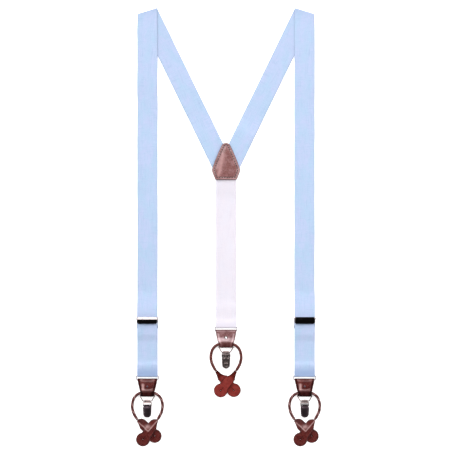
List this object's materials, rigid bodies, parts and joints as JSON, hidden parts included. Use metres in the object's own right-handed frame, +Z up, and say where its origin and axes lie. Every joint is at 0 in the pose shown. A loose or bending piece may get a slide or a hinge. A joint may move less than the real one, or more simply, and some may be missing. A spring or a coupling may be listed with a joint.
{
  "type": "suspenders",
  "caption": "Convertible suspenders with a Y back: folded fabric straps, leather crosspatch, elastic back, metal adjusters, leather button loops and metal clips.",
  "frame": {"origin": "centre of the lay in plan, on the surface that it lies on", "axes": "+Y along the straps towards the shoulder folds, +X to the right of the lay, +Z up through its thickness"},
  "size_m": [0.3266, 0.7519, 0.0082],
  "materials": {
    "strap_fabric": "fine woven light blue ribbon, matt",
    "elastic": "white woven elastic, matt",
    "patch_leather": "brown leather with a soft sheen",
    "tab_leather": "dark brown leather, semi-gloss",
    "flesh_leather": "red-brown flesh side, matt",
    "nickel": "bright nickel plate",
    "dark_chrome": "polished chrome, darker",
    "grip_rubber": "matt rubber"
  },
  "bodies": {
    "yoke": {"crosspatch_top": "patch_leather", "crosspatch_lining": "patch_leather", "back_strap_left": "strap_fabric", "back_strap_right": "strap_fabric", "elastic_strap": "elastic"},
    "front_strap_left": {"front_strap_left": "strap_fabric"},
    "adjuster_left": {"adjuster_frame_left": "nickel", "adjuster_pin_left": "nickel", "strap_loop_front_left": "strap_fabric", "strap_loop_return_left": "strap_fabric"},
    "adjuster_lever_left": {"adjuster_lever_left": "dark_chrome"},
    "strap_turn_left": {"strap_turn_left": "strap_fabric"},
    "front_strap_right": {"front_strap_right": "strap_fabric"},
    "adjuster_right": {"adjuster_frame_right": "nickel", "adjuster_pin_right": "nickel", "strap_loop_front_right": "strap_fabric", "strap_loop_return_right": "strap_fabric"},
    "adjuster_lever_right": {"adjuster_lever_right": "dark_chrome"},
    "strap_turn_right": {"strap_turn_right": "strap_fabric"},
    "elastic_end": {"elastic_end": "elastic"},
    "ring_left_front": {"ring_left_front": "nickel"},
    "leather_tab_left_front": {"leather_tab_left_front": "tab_leather", "rivet_left_front": "nickel"},
    "loop_cord_left_front": {"loop_cord_left_front": "tab_leather"},
    "button_tab_upper_left_front": {"button_tab_upper_left_front": "tab_leather"},
    "button_tab_lower_left_front": {"button_tab_lower_left_front": "tab_leather"},
    "bail_left_front": {"bail_left_front": "nickel"},
    "clip_left_front": {"clip_plate_left_front": "nickel", "clip_pin_left_front": "nickel"},
    "clip_lever_left_front": {"clip_lever_left_front": "dark_chrome"},
    "clip_jaw_left_front": {"clip_jaw_left_front": "nickel", "clip_pad_left_front": "grip_rubber"},
    "ring_right_front": {"ring_right_front": "nickel"},
    "leather_tab_right_front": {"leather_tab_right_front": "tab_leather", "rivet_right_front": "nickel"},
    "loop_cord_right_front": {"loop_cord_right_front": "tab_leather"},
    "button_tab_upper_right_front": {"button_tab_upper_right_front": "tab_leather"},
    "button_tab_lower_right_front": {"button_tab_lower_right_front": "tab_leather"},
    "bail_right_front": {"bail_right_front": "nickel"},
    "clip_right_front": {"clip_plate_right_front": "nickel", "clip_pin_right_front": "nickel"},
    "clip_lever_right_front": {"clip_lever_right_front": "dark_chrome"},
    "clip_jaw_right_front": {"clip_jaw_right_front": "nickel", "clip_pad_right_front": "grip_rubber"},
    "ring_rear": {"ring_rear": "nickel"},
    "leather_tab_rear": {"leather_tab_rear": "tab_leather", "rivet_rear": "nickel"},
    "loop_cord_rear": {"loop_cord_rear": "tab_leather"},
    "button_tab_upper_rear": {"button_tab_upper_rear": "flesh_leather"},
    "button_tab_lower_rear": {"button_tab_lower_rear": "flesh_leather"},
    "bail_rear": {"bail_rear": "nickel"},
    "clip_rear": {"clip_plate_rear": "nickel", "clip_pin_rear": "nickel"},
    "clip_lever_rear": {"clip_lever_rear": "dark_chrome"},
    "clip_jaw_rear": {"clip_jaw_rear": "nickel", "clip_pad_rear": "grip_rubber"}
  },
  "joints": [
    {"name": "shoulder_fold_left", "type": "hinge", "parent": "yoke", "child": "front_strap_left", "pos_m": [-0.1348, 0.36929, 0.0013], "axis": [-0.9563, -0.2924, 0], "range_deg": [0, 170]},
    {"name": "adjuster_slide_left", "type": "slide", "parent": "front_strap_left", "child": "adjuster_left", "axis": [0, -1, 0], "range_m": [-0.3, 0.11], "deforming": ["front_strap_left"]},
    {"name": "ring_slide_left", "type": "slide", "parent": "adjuster_left", "child": "strap_turn_left", "axis": [0, -1, 0], "range_m": [-0.06, 0.155], "deforming": ["strap_loop_front_left", "strap_loop_return_left"]},
    {"name": "adjuster_lever_left", "type": "hinge", "parent": "adjuster_left", "child": "adjuster_lever_left", "pos_m": [-0.1348, -0.156, 0.0064], "axis": [-1, 0, 0], "range_deg": [0, 80]},
    {"name": "shoulder_fold_right", "type": "hinge", "parent": "yoke", "child": "front_strap_right", "pos_m": [0.1348, 0.36929, 0.0013], "axis": [-0.9563, 0.2924, 0], "range_deg": [0, 170]},
    {"name": "adjuster_slide_right", "type": "slide", "parent": "front_strap_right", "child": "adjuster_right", "axis": [0, -1, 0], "range_m": [-0.3, 0.11], "deforming": ["front_strap_right"]},
    {"name": "ring_slide_right", "type": "slide", "parent": "adjuster_right", "child": "strap_turn_right", "axis": [0, -1, 0], "range_m": [-0.06, 0.155], "deforming": ["strap_loop_front_right", "strap_loop_return_right"]},
    {"name": "adjuster_lever_right", "type": "hinge", "parent": "adjuster_right", "child": "adjuster_lever_right", "pos_m": [0.1348, -0.156, 0.0064], "axis": [-1, 0, 0], "range_deg": [0, 80]},
    {"name": "elastic_stretch", "type": "slide", "parent": "yoke", "child": "elastic_end", "axis": [0, -1, 0], "range_m": [0, 0.08], "stiffness_N_per_m": 60, "deforming": ["elastic_strap"]},
    {"name": "ring_swing_left_front", "type": "hinge", "parent": "strap_turn_left", "child": "ring_left_front", "pos_m": [-0.1348, -0.2553, 0.0021], "axis": [-1, 0, 0], "range_deg": [-45, 45]},
    {"name": "tab_swing_left_front", "type": "hinge", "parent": "ring_left_front", "child": "leather_tab_left_front", "pos_m": [-0.1348, -0.2621, 0.0021], "axis": [-1, 0, 0], "range_deg": [-45, 45]},
    {"name": "loop_swing_left_front", "type": "hinge", "parent": "leather_tab_left_front", "child": "loop_cord_left_front", "pos_m": [-0.1348, -0.2849, 0.0041], "axis": [-1, 0, 0], "range_deg": [-60, 60]},
    {"name": "button_flex_upper_left_front", "type": "hinge", "parent": "loop_cord_left_front", "child": "button_tab_upper_left_front", "pos_m": [-0.1348, -0.3319, 0.0026], "axis": [-1, 0, 0], "range_deg": [0, 30]},
    {"name": "button_flex_lower_left_front", "type": "hinge", "parent": "loop_cord_left_front", "child": "button_tab_lower_left_front", "pos_m": [-0.1348, -0.3319, 0.0026], "axis": [-1, 0, 0], "range_deg": [-30, 0]},
    {"name": "bail_swing_left_front", "type": "hinge", "parent": "leather_tab_left_front", "child": "bail_left_front", "pos_m": [-0.1348, -0.2886, 0.0041], "axis": [-1, 0, 0], "range_deg": [-45, 45]},
    {"name": "clip_swing_left_front", "type": "hinge", "parent": "bail_left_front", "child": "clip_left_front", "pos_m": [-0.1348, -0.2982, 0.0041], "axis": [-1, 0, 0], "range_deg": [-45, 45]},
    {"name": "clip_lever_open_left_front", "type": "hinge", "parent": "clip_left_front", "child": "clip_lever_left_front", "pos_m": [-0.1348, -0.3035, 0.0052], "axis": [-1, 0, 0], "range_deg": [0, 75]},
    {"name": "clip_jaw_open_left_front", "type": "hinge", "parent": "clip_left_front", "child": "clip_jaw_left_front", "pos_m": [-0.1348, -0.3035, 0.0052], "axis": [-1, 0, 0], "range_deg": [0, 20]},
    {"name": "ring_swing_right_front", "type": "hinge", "parent": "strap_turn_right", "child": "ring_right_front", "pos_m": [0.1348, -0.2553, 0.0021], "axis": [-1, 0, 0], "range_deg": [-45, 45]},
    {"name": "tab_swing_right_front", "type": "hinge", "parent": "ring_right_front", "child": "leather_tab_right_front", "pos_m": [0.1348, -0.2621, 0.0021], "axis": [-1, 0, 0], "range_deg": [-45, 45]},
    {"name": "loop_swing_right_front", "type": "hinge", "parent": "leather_tab_right_front", "child": "loop_cord_right_front", "pos_m": [0.1348, -0.2849, 0.0041], "axis": [-1, 0, 0], "range_deg": [-60, 60]},
    {"name": "button_flex_upper_right_front", "type": "hinge", "parent": "loop_cord_right_front", "child": "button_tab_upper_right_front", "pos_m": [0.1348, -0.3319, 0.0026], "axis": [-1, 0, 0], "range_deg": [0, 30]},
    {"name": "button_flex_lower_right_front", "type": "hinge", "parent": "loop_cord_right_front", "child": "button_tab_lower_right_front", "pos_m": [0.1348, -0.3319, 0.0026], "axis": [-1, 0, 0], "range_deg": [-30, 0]},
    {"name": "bail_swing_right_front", "type": "hinge", "parent": "leather_tab_right_front", "child": "bail_right_front", "pos_m": [0.1348, -0.2886, 0.0041], "axis": [-1, 0, 0], "range_deg": [-45, 45]},
    {"name": "clip_swing_right_front", "type": "hinge", "parent": "bail_right_front", "child": "clip_right_front", "pos_m": [0.1348, -0.2982, 0.0041], "axis": [-1, 0, 0], "range_deg": [-45, 45]},
    {"name": "clip_lever_open_right_front", "type": "hinge", "parent": "clip_right_front", "child": "clip_lever_right_front", "pos_m": [0.1348, -0.3035, 0.0052], "axis": [-1, 0, 0], "range_deg": [0, 75]},
    {"name": "clip_jaw_open_right_front", "type": "hinge", "parent": "clip_right_front", "child": "clip_jaw_right_front", "pos_m": [0.1348, -0.3035, 0.0052], "axis": [-1, 0, 0], "range_deg": [0, 20]},
    {"name": "ring_swing_rear", "type": "hinge", "parent": "elastic_end", "child": "ring_rear", "pos_m": [0, -0.1716, 0.0021], "axis": [-1, 0, 0], "range_deg": [-45, 45]},
    {"name": "tab_swing_rear", "type": "hinge", "parent": "ring_rear", "child": "leather_tab_rear", "pos_m": [0, -0.1784, 0.0021], "axis": [-1, 0, 0], "range_deg": [-45, 45]},
    {"name": "loop_swing_rear", "type": "hinge", "parent": "leather_tab_rear", "child": "loop_cord_rear", "pos_m": [0, -0.2012, 0.0041], "axis": [-1, 0, 0], "range_deg": [-60, 60]},
    {"name": "button_flex_upper_rear", "type": "hinge", "parent": "loop_cord_rear", "child": "button_tab_upper_rear", "pos_m": [0, -0.2482, 0.0026], "axis": [-1, 0, 0], "range_deg": [0, 30]},
    {"name": "button_flex_lower_rear", "type": "hinge", "parent": "loop_cord_rear", "child": "button_tab_lower_rear", "pos_m": [0, -0.2482, 0.0026], "axis": [-1, 0, 0], "range_deg": [-30, 0]},
    {"name": "bail_swing_rear", "type": "hinge", "parent": "leather_tab_rear", "child": "bail_rear", "pos_m": [0, -0.2049, 0.0041], "axis": [-1, 0, 0], "range_deg": [-45, 45]},
    {"name": "clip_swing_rear", "type": "hinge", "parent": "bail_rear", "child": "clip_rear", "pos_m": [0, -0.2145, 0.0041], "axis": [-1, 0, 0], "range_deg": [-45, 45]},
    {"name": "clip_lever_open_rear", "type": "hinge", "parent": "clip_rear", "child": "clip_lever_rear", "pos_m": [0, -0.2198, 0.003], "axis": [1, 0, 0], "range_deg": [0, 75]},
    {"name": "clip_jaw_open_rear", "type": "hinge", "parent": "clip_rear", "child": "clip_jaw_rear", "pos_m": [0, -0.2198, 0.003], "axis": [1, 0, 0], "range_deg": [0, 20]}
  ],
  "couplings": [
    {"joint": "ring_slide_left", "follows": "adjuster_slide_left", "ratio": -0.5},
    {"joint": "ring_slide_right", "follows": "adjuster_slide_right", "ratio": -0.5},
    {"joint": "clip_jaw_open_left_front", "follows": "clip_lever_open_left_front", "ratio": 0.2},
    {"joint": "clip_jaw_open_right_front", "follows": "clip_lever_open_right_front", "ratio": 0.2},
    {"joint": "clip_jaw_open_rear", "follows": "clip_lever_open_rear", "ratio": 0.2}
  ]
}
